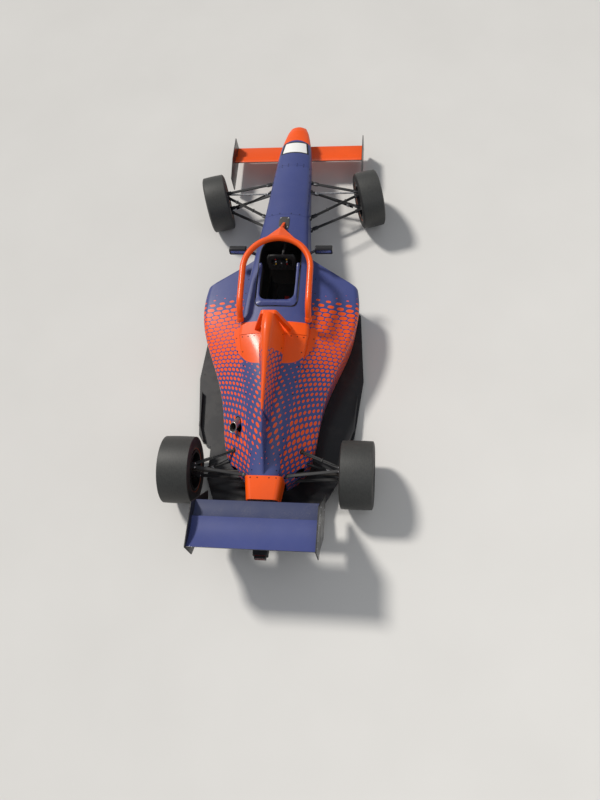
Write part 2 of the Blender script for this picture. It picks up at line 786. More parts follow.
def airbox_pattern(nodes, position):
    """Orange airbox whose flanks turn blue under dots, with an orange line along its ridge."""
    look = bpy.context.scene.race_paint
    x, _, z = nodes.split(position)
    station = nodes.math("SUBTRACT", x, REAR_AXLE)
    ridge = nodes.math("MULTIPLY_ADD", nodes.math("SUBTRACT", station, 0.35), 0.25, 0.852)
    below = nodes.math("SUBTRACT", ridge, z)
    size = nodes.profile(below, 0.0, 0.4, ((0.0, 0.46), (0.4, 0.20), (0.12, 0.40), (0.24, 0.32)))
    size = nodes.math("MULTIPLY", size, nodes.step(station, 0.15, 0.6))
    dots = nodes.group("Fading dots", {"Vector": position, "Size": size})["Mask"]
    strip = nodes.math("MULTIPLY", nodes.step(below, 0.012, 0.009), nodes.step(station, 0.34, 0.36))
    front = nodes.step(nodes.math("MULTIPLY_ADD", below, -0.30, station), 0.862, 0.868)
    mask = nodes.math("MAXIMUM", dots, nodes.math("MAXIMUM", strip, front))
    return nodes.mix(mask, (*look.body_blue, 1), (*look.accent_orange, 1))


def build_paints():
    """The body's lacquers."""
    look = bpy.context.scene.race_paint
    blue, orange = (*look.body_blue, 1), (*look.accent_orange, 1)
    lacquer("body_lacquer", body_pattern, look.dust)
    lacquer("tub_lacquer", tub_pattern, look.dust)
    lacquer("nose_lacquer", nose_pattern, look.dust)
    lacquer("airbox_lacquer", airbox_pattern, look.dust)
    lacquer("blue_lacquer", blue, look.dust)
    lacquer("main_plane_lacquer", (0.037, 0.046, 0.106, 1), 2 * look.dust, 0.34)
    lacquer("orange_lacquer", orange, look.dust * 0.4)


def build_carbon(name, base, thread, coat, roughness):
    """Woven laminate under resin."""
    nodes, shader, position = new_material(
        name, Coat_Weight=coat, Coat_Roughness=0.14, Specular_IOR_Level=0.3
    )
    woven = nodes.group("Carbon twill", {"Vector": position, "Thread": thread})
    light = tuple(2.6 * part for part in base)
    colour = nodes.mix(woven["Shade"], (*base, 1), (*light, 1))
    colour = nodes.mix(nodes.math("MULTIPLY", woven["Wear"], 0.16), colour, (0.10, 0.095, 0.085, 1))
    nodes.feed(shader.inputs["Base Color"], colour)
    nodes.feed(shader.inputs["Roughness"], nodes.math("MULTIPLY_ADD", woven["Wear"], 0.22, roughness))
    bump(nodes, shader, woven["Height"], 0.0001, 0.3)


def from_wheel_centre(nodes, position, corner):
    """The position seen from a wheel's centre, with Y along its axle."""
    turn = -STEER_AT_REST if corner.startswith("front") else 0.0
    centre = Vector(JOINTS["spin_" + corner]["pos_m"])
    place = nodes.add("ShaderNodeMapping", {"Vector": position})
    place.inputs["Rotation"].default_value = (0, 0, turn)
    place.inputs["Location"].default_value = -(Matrix.Rotation(turn, 3, "Z") @ centre)
    return place.outputs[0]


HALF_TREAD = {"front": 0.098, "rear": 0.131}


def build_rubbers():
    """One material for each tyre, drawn from that wheel's centre."""
    for corner in CORNERS:
        nodes, shader, position = new_material("rubber_" + corner, Specular_IOR_Level=0.5)
        made = nodes.group(
            "Scrubbed rubber",
            {
                "Vector": from_wheel_centre(nodes, position, corner),
                "Radius": JOINTS["spin_" + corner]["pos_m"][2],
                "Half Tread": HALF_TREAD[corner.split("_")[0]],
            },
        )
        nodes.feed(shader.inputs["Base Color"], made["Colour"])
        nodes.feed(shader.inputs["Roughness"], made["Roughness"])
        bump(nodes, shader, made["Height"], 0.0008, 0.4)


def build_metal(name, colour, roughness, metallic=1.0, grain=0.00012):
    """Metal or scuffed plate with uneven tone and a fine grain."""
    nodes, shader, position = new_material(name, Metallic=metallic)
    given = {"Vector": position, "Colour": (*colour, 1), "Roughness": roughness}
    made = nodes.group("Handled metal", given)
    nodes.feed(shader.inputs["Base Color"], made["Colour"])
    nodes.feed(shader.inputs["Roughness"], made["Roughness"])
    bump(nodes, shader, made["Height"], grain, 0.5)


def build_discs():
    """Turned brake disc faces, drawn from each wheel's centre."""
    for corner in CORNERS:
        nodes, shader, position = new_material("disc_" + corner + "_metal", Metallic=1.0)
        x, _, z = nodes.split(from_wheel_centre(nodes, position, corner))
        out = nodes.length(x, z)
        swept = nodes.band(out, 0.082, 0.125, 0.001)
        turned = nodes.math("MULTIPLY", out, 5200)
        uneven = nodes.math("MULTIPLY_ADD", nodes.noise(position, 60, 2), 3.0, turned)
        rings = nodes.math("SINE", uneven)
        heat = nodes.step(nodes.noise(position, 25, 4), 0.4, 0.7)
        bright = nodes.mix(heat, (0.30, 0.29, 0.28, 1), (0.16, 0.14, 0.15, 1))
        nodes.feed(shader.inputs["Base Color"], nodes.mix(swept, (0.07, 0.065, 0.06, 1), bright))
        ringed = nodes.math("MULTIPLY_ADD", rings, 0.06, 0.34)
        nodes.feed(shader.inputs["Roughness"], nodes.blend(swept, 0.62, ringed))
        bump(nodes, shader, nodes.math("MULTIPLY", rings, swept), 0.0001, 0.5)


PAD_CLOTH = (0.008, 0.008, 0.009)
PAD_THREAD = 0.0016


def cloth_weave(nodes, position, base, thread):
    """Colour and height of a woven cloth."""
    woven = nodes.group("Close cloth", {"Vector": position, "Thread": thread})
    light = tuple(1.9 * part + 0.01 for part in base)
    return nodes.mix(woven["Shade"], (*base, 1), (*light, 1)), woven["Height"]


def build_cloth(name, base, thread, sheen):
    """Woven cloth with a soft sheen."""
    nodes, shader, position = new_material(name, Sheen_Weight=sheen, Sheen_Roughness=0.5)
    colour, height = cloth_weave(nodes, position, base, thread)
    nodes.feed(shader.inputs["Base Color"], colour)
    fuzz = nodes.noise(position, 300, 3)
    nodes.feed(shader.inputs["Roughness"], nodes.math("MULTIPLY_ADD", fuzz, 0.2, 0.72))
    bump(nodes, shader, height, 0.0003, 0.5)


def build_headrest_cover():
    """The headrest's shell: body blue on the faces that look up, dark cloth on the cushions."""
    look = bpy.context.scene.race_paint
    nodes, shader, position = new_material(
        "headrest_cover", Coat_Roughness=0.2, Specular_IOR_Level=0.3
    )
    cloth, weave = cloth_weave(nodes, position, PAD_CLOTH, PAD_THREAD)
    painted = nodes.group(
        "Road worn lacquer",
        {
            "Vector": position,
            "Colour": (*look.body_blue, 1),
            "Dust": look.dust,
            "Roughness": LACQUER_ROUGHNESS,
        },
    )
    _, _, up = nodes.split(nodes.add("ShaderNodeNewGeometry").outputs["Normal"])
    top = nodes.step(up, 0.42, 0.48)
    nodes.feed(shader.inputs["Base Color"], nodes.mix(top, cloth, painted["Colour"]))
    nodes.feed(shader.inputs["Roughness"], nodes.blend(top, 0.8, painted["Roughness"]))
    nodes.feed(shader.inputs["Coat Weight"], nodes.math("MULTIPLY", top, 0.2))
    bump(nodes, shader, nodes.blend(top, weave, painted["Height"]), 0.0003, 0.4)


def build_plastic(name, base, roughness):
    """Moulded plastic or rubber with a fine stipple."""
    nodes, shader, position = new_material(name)
    stipple = nodes.noise(position, 700, 2)
    worn = nodes.step(nodes.noise(position, 30, 5), 0.45, 0.7)
    light = tuple(2.2 * part + 0.012 for part in base)
    colour = nodes.mix(nodes.math("MULTIPLY", worn, 0.5), (*base, 1), (*light, 1))
    nodes.feed(shader.inputs["Base Color"], colour)
    nodes.feed(shader.inputs["Roughness"], nodes.math("MULTIPLY_ADD", worn, -0.14, roughness))
    bump(nodes, shader, stipple, 0.0002, 0.5)


def build_radiator():
    """Fins and tubes of a radiator core."""
    nodes, shader, position = new_material("radiator_core", Metallic=0.9)
    _, y, z = nodes.split(position)
    tubes = nodes.math("ABSOLUTE", nodes.math("SINE", nodes.math("MULTIPLY", z, 340)))
    fins = nodes.math("ABSOLUTE", nodes.math("SINE", nodes.math("MULTIPLY", y, 1500)))
    open_part = nodes.step(tubes, 0.35, 0.5)
    dark = nodes.mix(fins, (0.02, 0.02, 0.022, 1), (0.16, 0.16, 0.17, 1))
    nodes.feed(shader.inputs["Base Color"], nodes.mix(open_part, (0.30, 0.30, 0.31, 1), dark))
    rough = nodes.math("MULTIPLY_ADD", nodes.noise(position, 40), 0.3, 0.35)
    nodes.feed(shader.inputs["Roughness"], rough)
    bump(nodes, shader, nodes.math("MULTIPLY", tubes, fins), 0.0015, 0.6)


def build_lens():
    """Deep red moulded lens over rows of small prisms."""
    nodes, shader, position = new_material(
        "red_lens", Coat_Weight=0.8, Coat_Roughness=0.05, IOR=1.5
    )
    _, y, z = nodes.split(position)
    first = nodes.math("ABSOLUTE", nodes.math("SINE", nodes.math("MULTIPLY", y, 420)))
    second = nodes.math("ABSOLUTE", nodes.math("SINE", nodes.math("MULTIPLY", z, 420)))
    prism = nodes.math("MULTIPLY", first, second)
    colour = nodes.mix(prism, (0.09, 0.004, 0.004, 1), (0.36, 0.012, 0.010, 1))
    nodes.feed(shader.inputs["Base Color"], colour)
    rough = nodes.math("MULTIPLY_ADD", nodes.noise(position, 90), 0.12, 0.14)
    nodes.feed(shader.inputs["Roughness"], rough)
    bump(nodes, shader, prism, 0.0006, 0.5)


def build_exhaust_metal():
    """Steel pipe tinted by heat towards its mouth."""
    nodes, shader, position = new_material("hot_steel", Metallic=1.0)
    x, _, _ = nodes.split(position)
    cloud = nodes.noise(position, 22, 4)
    rearward = nodes.math("MULTIPLY", x, -1.0)
    heat = nodes.step(nodes.math("MULTIPLY_ADD", cloud, 0.12, rearward), 1.18, 1.34)
    straw = nodes.mix(nodes.step(cloud, 0.4, 0.65), (0.40, 0.38, 0.36, 1), (0.34, 0.27, 0.19, 1))
    nodes.feed(shader.inputs["Base Color"], nodes.mix(heat, straw, (0.46, 0.44, 0.43, 1)))
    nodes.feed(shader.inputs["Roughness"], nodes.math("MULTIPLY_ADD", cloud, 0.25, 0.22))
    bump(nodes, shader, nodes.noise(position, 500, 2), 0.0001, 0.4)


def build_finishes():
    """All the car's materials, after the groups that they share."""
    look = bpy.context.scene.race_paint
    build_dots_group()
    build_dust_group()
    build_weave_group()
    build_tyre_group()
    build_metal_group()
    build_cloth_group()
    build_paints()
    build_carbon("carbon_gloss", (0.007, 0.007, 0.008), 0.0032, 0.3, 0.34)
    build_carbon("carbon_satin", (0.009, 0.009, 0.010), 0.0022, 0.1, 0.46)
    build_rubbers()
    build_discs()
    build_metal("dark_alloy", (0.060, 0.060, 0.064), 0.40)
    build_metal("cast_alloy", (0.26, 0.26, 0.27), 0.55, grain=0.0004)
    build_metal("bright_steel", (0.56, 0.56, 0.57), 0.28)
    build_metal("black_steel", (0.030, 0.030, 0.032), 0.45)
    build_metal("gold_alloy", tuple(look.cap_gold), 0.36)
    build_metal("blue_alloy", (0.02, 0.06, 0.36), 0.34)
    build_metal("mirror_silver", (0.80, 0.82, 0.84), 0.07, grain=0.00001)
    build_metal("scuffed_pad", (0.035, 0.034, 0.034), 0.55, metallic=0.0, grain=0.0006)
    build_cloth("pad_cloth", PAD_CLOTH, PAD_THREAD, 0.1)
    build_headrest_cover()
    build_cloth("belt_red", tuple(look.belt_red), 0.0011, 0.15)
    build_plastic("grip_rubber", (0.014, 0.014, 0.014), 0.62)
    build_plastic("black_rubber", (0.010, 0.010, 0.010), 0.55)
    build_plastic("red_knob", (0.42, 0.014, 0.012), 0.38)
    build_plastic("yellow_knob", (0.62, 0.36, 0.02), 0.38)
    build_plastic("pale_knob", (0.42, 0.42, 0.44), 0.40)
    build_plastic("display_glass", (0.006, 0.008, 0.010), 0.22)
    build_radiator()
    build_lens()
    build_exhaust_metal()


NODE_FINISHES = {
    "tub_lacquer": ("monocoque",),
    "body_lacquer": ("front_hatch", "engine_cover", "sidepod_left", "sidepod_right"),
    "nose_lacquer": ("nose_cone",),
    "airbox_lacquer": ("airbox",),
    "blue_lacquer": ("rear_wing_flap",),
    "main_plane_lacquer": ("rear_wing_main",),
    "orange_lacquer": ("halo", "roll_hoop", "tail_cover", "front_wing_main", "front_wing_flap"),
    "carbon_gloss": (
        "floor",
        "front_endplates",
        "rear_endplates",
        "front_wing_pylons",
        "mirrors",
        "rear_wing_supports",
    ),
    "carbon_satin": ("front_wishbones", "rear_wishbones", "crash_box", "dash_panel"),
    "cast_alloy": ("engine_block", "gearbox"),
    "dark_alloy": (
        "front_upright_left",
        "front_upright_right",
        "rear_uprights",
        "rim_front_left",
        "rim_front_right",
        "rim_rear_left",
        "rim_rear_right",
    ),
    "bright_steel": ("steering_rack", "steering_column"),
    "grip_rubber": ("steering_wheel",),
    "radiator_core": ("radiators",),
    "red_lens": ("rain_light",),
    "hot_steel": ("exhaust_outlet",),
}


def dress_nodes():
    """Gives every CAD node its finish."""
    finishes = {node: name for name, nodes in NODE_FINISHES.items() for node in nodes}
    for corner in CORNERS:
        finishes["tyre_" + corner] = "rubber_" + corner
        finishes["disc_" + corner] = "disc_" + corner + "_metal"
    for node, item in frame["nodes"].items():
        for slot in item.material_slots:
            slot.material = bpy.data.materials[finishes.get(node, "pad_cloth")]


# Soft pieces


SWELL_FRAMES = 20


def swell(piece, voxel, cap):
    """Remeshes a pad, swells it with cloth under pressure, holds it within cap and smooths it."""
    modify(piece, "REMESH", mode="VOXEL", voxel_size=voxel)
    before = [vertex.co.copy() for vertex in piece.data.vertices]
    make_active(piece)
    cloth = piece.modifiers.new("Swell", "CLOTH")
    cloth.settings.use_pressure = True
    cloth.settings.uniform_pressure_force = 4
    cloth.settings.effector_weights.gravity = 0
    scene = bpy.context.scene
    for number in range(1, SWELL_FRAMES + 1):
        scene.frame_set(number)
    bpy.ops.object.modifier_apply(modifier=cloth.name)
    scene.frame_set(1)
    for vertex, was in zip(piece.data.vertices, before):
        move = vertex.co - was
        if move.length > cap:
            vertex.co = was + move.normalized() * cap
    subdivide(piece)


def make_headrest():
    """Padded collar round the back and both sides of the cockpit."""
    low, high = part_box("headrest")
    back_depth, arm_inside = 0.078, 0.158
    outer_round, inner_round = 0.052, 0.060
    back, front = low.x + SOFT_GAP, high.x - SOFT_GAP
    inner = low.x + back_depth - SOFT_GAP
    half, arm = high.y - SOFT_GAP, arm_inside + SOFT_GAP
    pad = new_box("headrest_pad", (back, -half, low.z + SOFT_GAP), (inner, half, high.z - SOFT_GAP))
    with editing(pad):
        for side in (-1, 1):
            bpy.ops.mesh.select_all(action="SELECT")
            bpy.ops.mesh.bisect(plane_co=(0, side * arm, 0), plane_no=(0, 1, 0))
    with editing(pad):
        pick_faces(lambda centre, normal: normal.x > FACING and abs(centre.y) > arm)
        extrude((front - inner, 0, 0))

    def at_outer_corner(one, _):
        return one.x < back + TOUCHING and abs(one.y) > half - TOUCHING

    def at_inner_corner(one, _):
        return abs(one.x - inner) < TOUCHING and abs(abs(one.y) - arm) < TOUCHING

    round_edges_along(pad, 2, outer_round, 8, at_outer_corner)
    round_edges_along(pad, 2, inner_round, 8, at_inner_corner)
    swell(tidy(pad), 0.005, bpy.context.scene.race_sizes.pad_swell)
    finish_piece(pad, "headrest_cover", smooth=60)
    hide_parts("headrest")


SEAT_LINE = (
    (-0.073, 0.585),
    (-0.035, 0.470),
    (0.010, 0.320),
    (0.058, 0.190),
    (0.105, 0.118),
    (0.190, 0.098),
    (0.350, 0.098),
    (0.515, 0.100),
)


def make_seat_shell():
    """Bucket shell: a centre panel that follows a reclined back, with raised side walls."""
    half = 0.150
    clear_selection()
    bpy.ops.mesh.primitive_plane_add(size=1)
    shell = bpy.context.object
    shell.name = "seat_shell"
    settle(shell)
    first, second = SEAT_LINE[:2]
    for vertex in shell.data.vertices:
        x, z = first if vertex.co.x < 0 else second
        vertex.co = (x, half if vertex.co.y > 0 else -half, z)
    for (x0, z0), (x1, z1) in zip(SEAT_LINE[1:], SEAT_LINE[2:]):
        with editing(shell, "EDGE"):
            pick_edges(
                lambda one, two: all(hypot(end.x - x0, end.z - z0) < TOUCHING for end in (one, two))
            )
            extrude((x1 - x0, 0, z1 - z0))
    with editing(shell, "EDGE"):
        pick_edges(lambda one, two: one.y * two.y > 0 and abs(one.y) > half - TOUCHING)
        extrude((0.022, 0, 0.028))
        bpy.ops.transform.resize(value=(1, 1.09, 1), center_override=(0, 0, 0))
        extrude((0.045, 0, 0.070))
        bpy.ops.transform.resize(value=(1, 1.03, 1), center_override=(0, 0, 0))
    tidy(shell)
    modify(shell, "SOLIDIFY", thickness=0.006, offset=0)
    subdivide(shell, 2)
    finish_piece(shell, "carbon_satin")
    return shell


def make_seat_pad():
    """Stuffed insert on the shell's back and base, in two cushions."""
    for name, start, end in (("seat_pad_back", 1, 3), ("seat_pad_base", 5, 7)):
        (x0, z0), (x1, z1) = SEAT_LINE[start], SEAT_LINE[end]
        length = hypot(x1 - x0, z1 - z0)
        pad = new_box(name, (0.010, -0.118, 0.008), (length - 0.010, 0.118, 0.026))
        with editing(pad):
            bpy.ops.mesh.select_all(action="SELECT")
            bpy.ops.mesh.subdivide(number_cuts=4)
        soften(pad, 0.006)
        lean = Matrix.Rotation(atan((z0 - z1) / (x1 - x0)), 4, "Y")
        pad.data.transform(Matrix.Translation((x0, 0, z0)) @ lean)
        swell(pad, 0.004, 0.008)
        finish_piece(pad, "pad_cloth", smooth=60)


WEBBING_THICKNESS = 0.0022


def strap(name, points, width, across=(0, 1, 0)):
    """Flat webbing of that width along the points."""
    across = Vector(across).normalized() * width / 2
    clear_selection()
    bpy.ops.mesh.primitive_plane_add(size=1)
    band = bpy.context.object
    band.name = name
    settle(band)
    first, second = Vector(points[0]), Vector(points[1])
    for vertex in band.data.vertices:
        spot = first if vertex.co.x < 0 else second
        vertex.co = spot + (across if vertex.co.y > 0 else -across)
    for start, end in zip(points[1:], points[2:]):
        start, end = Vector(start), Vector(end)
        with editing(band, "EDGE"):
            pick_edges(lambda one, two: ((one + two) / 2 - start).length < TOUCHING)
            extrude(end - start)
    modify(band, "SUBSURF", levels=2, render_levels=2, boundary_smooth="PRESERVE_CORNERS")
    return modify(band, "SOLIDIFY", thickness=WEBBING_THICKNESS, offset=0)


def make_harness():
    """Two shoulder straps, two lap straps, a crotch strap and the buckle they meet in."""
    sizes = bpy.context.scene.race_sizes
    straps = []
    for side in (-1, 1):
        shoulder = strap(
            "shoulder_strap",
            (
                (-0.062, side * 0.085, 0.598),
                (-0.010, side * 0.080, 0.482),
                (0.040, side * 0.072, 0.345),
                (0.098, side * 0.056, 0.225),
                (0.160, side * 0.036, 0.160),
                (0.222, side * 0.018, 0.142),
            ),
            sizes.shoulder_strap_width,
        )
        lap = strap(
            "lap_strap",
            (
                (0.160, side * 0.146, 0.150),
                (0.182, side * 0.110, 0.143),
                (0.205, side * 0.070, 0.140),
                (0.236, side * 0.022, 0.142),
            ),
            sizes.lap_strap_width,
            (0.85, -side * 0.5, 0),
        )
        straps += [shoulder, lap]
    crotch_line = ((0.262, 0, 0.141), (0.310, 0, 0.138), (0.370, 0, 0.128), (0.395, 0, 0.118))
    straps.append(strap("crotch_strap", crotch_line, sizes.lap_strap_width))
    webbing = join("harness_straps", straps)
    finish_piece(webbing, "belt_red", smooth=50)
    buckle = new_round("harness_buckle", (0.245, 0, 0.148), (0.08, 0, 1), 0.030, 0.012, 32)
    step_faces(buckle, UP, (0.006, 0.004), (0.010, 0.006))
    soften(buckle, 0.0012)
    finish_piece(buckle, "red_knob")
    sliders = []
    middle = Vector((0.012, 0, 0.447))
    lean = Matrix.Rotation(radians(-22), 4, "Y")
    for side in (-1, 1):
        centre, half = side * 0.0765, 0.033
        slider = new_box("slider", (0.010, centre - half, 0.432), (0.018, centre + half, 0.462))
        step_faces(slider, FORWARD, (0.006, -0.003))
        slider.data.transform(Matrix.Translation(middle) @ lean @ Matrix.Translation(-middle))
        soften(slider, 0.001)
        sliders.append(slider)
    finish_piece(join("harness_sliders", sliders), "bright_steel")


# Fittings


def stud():
    """Flush quarter turn stud, drawn at the origin facing up."""
    radius = bpy.context.scene.race_sizes.stud_radius
    piece = new_round("stud", (0, 0, 0.0004), UP, radius, 0.0024, 16)
    step_faces(piece, UP, (0.0014, -0.0008), (0.0018, 0.0008))
    return soften(piece, 0.0003, 1)


def hex_bolt(radius):
    """Hexagon head on a washer, drawn at the origin facing up."""
    washer = new_round("washer", (0, 0, 0.0002), UP, radius * 1.3, 0.0022, 18)
    step_faces(washer, UP, (0.0004, 0))
    head = new_round("head", (0, 0, radius * 0.4), UP, radius, radius * 0.8, 6)
    step_faces(head, UP, (radius * 0.3, -radius * 0.12))
    soften(head, radius * 0.08, 1)
    return join("bolt", [washer, head])


def make_fasteners():
    """Quarter turn studs along the edges of the removable panels."""
    places = []
    for node, first, last, count, way in (
        ("front_hatch", (1.662, 0.6, 0.452), (0.968, 0.6, 0.566), 8, INWARD),
        ("front_hatch", (1.672, 0.045, 1), (1.672, 0.110, 1), 2, DOWN),
        ("front_hatch", (0.960, 0.055, 1), (0.960, 0.135, 1), 2, DOWN),
        ("nose_cone", (1.702, 0.6, 0.300), (1.702, 0.6, 0.400), 2, INWARD),
        ("nose_cone", (1.702, 0.045, 1), (1.702, 0.110, 1), 2, DOWN),
        ("engine_cover", (-0.424, 0.165, 1), (-0.424, 0.275, 1), 3, DOWN),
        ("engine_cover", (-0.560, 0.262, 1), (-0.940, 0.206, 1), 4, DOWN),
        ("engine_cover", (-1.330, 0.148, 1), (-1.600, 0.105, 1), 3, DOWN),
        ("sidepod_{}", (0.300, 0.318, 1), (-0.380, 0.352, 1), 5, DOWN),
        ("sidepod_{}", (-0.520, 0.328, 1), (-0.860, 0.270, 1), 3, DOWN),
        ("sidepod_{}", (0.160, 1.2, 0.090), (-0.980, 1.2, 0.090), 7, INWARD),
        ("airbox", (-0.440, 0.6, 0.745), (-0.700, 0.6, 0.728), 3, INWARD),
        ("airbox", (-0.850, 0.6, 0.705), (-1.080, 0.6, 0.665), 3, INWARD),
        ("tail_cover", (-1.672, 0.050, 1), (-1.672, 0.110, 1), 2, DOWN),
        ("floor", (0.060, 0.715, 1), (-0.500, 0.745, 1), 4, DOWN),
    ):
        places += places_on(node, spaced(first, last, count), way)
    finish_piece(copies_at("panel_studs", stud(), places), "black_steel")


def make_wing_fittings():
    """Bolts through the end plates, strips on the flaps' trailing edges and edging on the plates."""
    places = []
    for node, first, last, count in (
        ("front_endplates", (2.205, 1, 0.147), (2.105, 1, 0.140), 2),
        ("front_endplates", (2.060, 1, 0.190), (1.992, 1, 0.216), 2),
        ("rear_endplates", (-1.955, 1, 0.652), (-2.085, 1, 0.672), 3),
        ("rear_endplates", (-2.115, 1, 0.704), (-2.310, 1, 0.752), 4),
        ("rear_endplates", (-1.890, 1, 0.364), (-1.960, 1, 0.372), 2),
    ):
        places += places_on(node, spaced(first, last, count), INWARD)
    finish_piece(copies_at("wing_bolts", hex_bolt(0.0055), places), "bright_steel")
    for name, low, high in (
        ("rear_wing_strip", (-2.3437, -0.505, 0.764), (-2.3413, 0.505, 0.782)),
        ("front_wing_strip", (1.9672, -0.685, 0.230), (1.9694, 0.685, 0.243)),
    ):
        strip = new_box(name, low, high)
        with editing(strip):
            pick_faces(lambda centre, normal: normal.z > FACING)
            bpy.ops.transform.translate(value=(-0.002, 0, 0))
        soften(strip, 0.0006)
        finish_piece(strip, "carbon_gloss")
    rear = ((-2.3515, 0.566), (-2.3515, 0.791), (-1.9855, 0.7745), (-1.7415, 0.304))
    front = ((2.2625, 0.112), (2.2515, 0.2995), (1.9565, 0.3195), (1.7265, 0.2665), (1.7265, 0.092))
    for name, line, side, radius in (
        ("rear_plate_edging", rear, 0.510, 0.0049),
        ("front_plate_edging", front, 0.689, 0.0038),
    ):
        path = round_corners([(x, side, z) for x, z in line], 0.012)
        edging = both_sides(tube_along(name, path, radius))
        finish_piece(edging, "black_rubber", smooth=50)


def wheel_matrix(corner):
    """From a wheel drawn round Z, outer side up and rear side along X, to its corner."""
    turn = STEER_AT_REST if corner.startswith("front") else 0.0
    back = Vector((-cos(turn), -sin(turn), 0))
    outward = Vector((-sin(turn), cos(turn), 0)) * (1 if corner.endswith("left") else -1)
    place = Matrix.Translation(JOINTS["spin_" + corner]["pos_m"])
    return place @ Matrix((back, (0, 0, 1), outward)).transposed().to_4x4()


def on_wheels(axle, source, material, body="wheel_{corner}", shift=None):
    """A piece drawn for one axle's wheel, copied to its left and right corner.

    Braces in the body's name stand for the corner or its side.
    """
    for corner in CORNERS:
        if corner.startswith(axle):
            place = wheel_matrix(corner) @ shift if shift else wheel_matrix(corner)
            piece = copy_of(source, source.name + "_" + corner, place)
            side = corner.split("_")[1]
            finish_piece(piece, material, body.format(corner=corner, side=side))
    bpy.data.objects.remove(source, do_unlink=True)


def make_wheel_fittings():
    """Nut caps, drive bolts, valves, rim edges and disc bobbins."""
    valve_axis = (-0.35, 0, 0.94)
    for axle, spoke, edge, disc in (("front", 0.042, 0.103, -0.012), ("rear", 0.078, 0.136, -0.041)):
        cap = new_round("nut_cap", (0, 0, spoke + 0.034), UP, 0.027, 0.012, 32)
        step_faces(cap, UP, (0.005, 0.006), (0.006, -0.014))
        on_wheels(axle, soften(cap, 0.0012), "gold_alloy")

        bolt = hex_bolt(0.0055)
        bolt.data.transform(Matrix.Translation((0.047, 0, spoke)))
        bolts = around("drive_bolts", bolt, 7)
        stem = new_round("stem", (0.147, 0, spoke + 0.026), valve_axis, 0.0032, 0.030, 12)
        with editing(stem):
            pick_faces(lambda centre, normal: normal.z > 0.8)
            bpy.ops.mesh.inset(thickness=0.0006)
            extrude((-0.0016, 0, 0.0045))
        collar = new_round("collar", (0.153, 0, spoke + 0.013), valve_axis, 0.0065, 0.006, 6)
        valve = join("valve", [soften(stem, 0.0005, 1), soften(collar, 0.0006, 1)])
        valve.data.transform(Matrix.Rotation(pi / 7, 4, "Z"))
        on_wheels(axle, join("wheel_bolts", [bolts, valve]), "bright_steel")

        ring = new_ring("rim_edge", (0, 0, edge), UP, 0.168, 0.0034, (72, 8))
        with editing(ring, "VERT"):
            bpy.ops.mesh.select_all(action="SELECT")
            bpy.ops.transform.resize(value=(1, 1, 0.5), center_override=(0, 0, edge))
        on_wheels(axle, ring, "dark_alloy")

        bobbin = new_round("bobbin", (0.0785, 0, disc), UP, 0.0062, 0.005, 12)
        step_faces(bobbin, UP, (0.002, -0.001))
        on_wheels(axle, around("disc_bobbins", bobbin, 10), "bright_steel")


def make_caliper_fittings():
    """Cover plate, bolts and bridge pipe of each brake caliper."""
    for axle, along, face in (("front", 0.104, 0.003), ("rear", -0.104, -0.026)):
        body = "knuckle_{side}" if axle == "front" else "chassis"
        shift = Matrix.Translation((along, 0, face))
        plate = new_box("caliper_plate", (-0.027, -0.021, -0.001), (0.027, 0.021, 0.0025))
        round_edges_along(plate, 2, 0.008, 4)
        step_faces(plate, UP, (0.003, 0.0012))
        soften(plate, 0.0005)
        spots = [((x, y, 0), UP) for x in (-0.0325, 0.0325) for y in (-0.024, 0.024)]
        bolts = copies_at("caliper_bolts", hex_bolt(0.0042), spots)
        bridge = ((0.028, -0.006), (0.037, -0.008), (0.037, -0.044), (0.028, -0.046))
        path = round_corners([(0.018, y, z) for y, z in bridge], 0.004)
        bolts = join("caliper_bolts", [bolts, tube_along("bridge_pipe", path, 0.0022)])
        on_wheels(axle, plate, "gold_alloy", body, shift)
        on_wheels(axle, bolts, "bright_steel", body, shift)


# Outer and inner end of every leg and rod on the car's left
LEGS = (
    ((1.3965, 0.720, 0.400), (1.5265, 0.180, 0.402)),
    ((1.3965, 0.720, 0.400), (1.0765, 0.198, 0.405)),
    ((1.3965, 0.720, 0.160), (1.5715, 0.160, 0.212)),
    ((1.3965, 0.720, 0.160), (1.1115, 0.183, 0.170)),
    ((-1.5395, 0.640, 0.406), (-1.3185, 0.130, 0.372)),
    ((-1.5595, 0.640, 0.406), (-1.6195, 0.112, 0.372)),
    ((-1.5395, 0.640, 0.184), (-1.2485, 0.134, 0.205)),
    ((-1.5595, 0.640, 0.184), (-1.6055, 0.113, 0.214)),
)
PUSHRODS = (
    ((1.4005, 0.610, 0.170), (1.3845, 0.186, 0.452)),
    ((-1.5085, 0.570, 0.198), (-1.4335, 0.123, 0.400)),
)


def along_line(start, end, distance):
    """Matrix of the point at that distance from start: Z along the line and X level."""
    start, end = Vector(start), Vector(end)
    way = (end - start).normalized()
    level = Vector((0, 0, 1)).cross(way).normalized()
    turn = Matrix((level, way.cross(level), way)).transposed().to_4x4()
    return Matrix.Translation(start + way * distance) @ turn


def make_leg_sleeves():
    """Stepped sleeves at the wishbones' ends."""
    sleeve = new_box("sleeve", (-0.018, -0.0085, 0), (0.018, 0.0085, 0.046))
    with editing(sleeve):
        pick_faces(lambda centre, normal: abs(normal.z) > FACING)
        bpy.ops.mesh.inset(thickness=0.003)
    with editing(sleeve):
        pick_faces(lambda centre, normal: normal.z > FACING and abs(centre.x) < TOUCHING)
        extrude((0, 0, 0.006))
    soften(sleeve, 0.002)
    spots = [along_line(end, start, 0.036) for start, end in LEGS]
    spots += [along_line(start, end, 0.040) for start, end in LEGS[:4]]
    finish_piece(both_sides(copies_by("leg_sleeves", sleeve, spots)), "dark_alloy")


